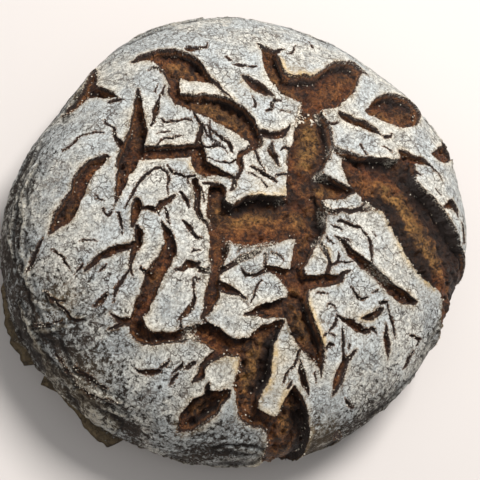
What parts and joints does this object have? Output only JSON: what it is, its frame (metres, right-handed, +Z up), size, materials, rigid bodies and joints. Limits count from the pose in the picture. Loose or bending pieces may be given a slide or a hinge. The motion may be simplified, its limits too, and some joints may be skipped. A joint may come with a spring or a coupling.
{
  "type": "rye bread loaf",
  "caption": "Round hearth-baked rye loaf with a low crown, a flat underside and a floured skin burst into plates by deep cracks.",
  "frame": {"origin": "middle of the flat underside", "axes": "+Z up from the underside to the crown; the front of the loaf faces -Y"},
  "size_m": [0.2408, 0.237, 0.0802],
  "materials": {
    "crust": "matte"
  },
  "bodies": {
    "root": {"loaf": "crust"}
  },
  "joints": []
}
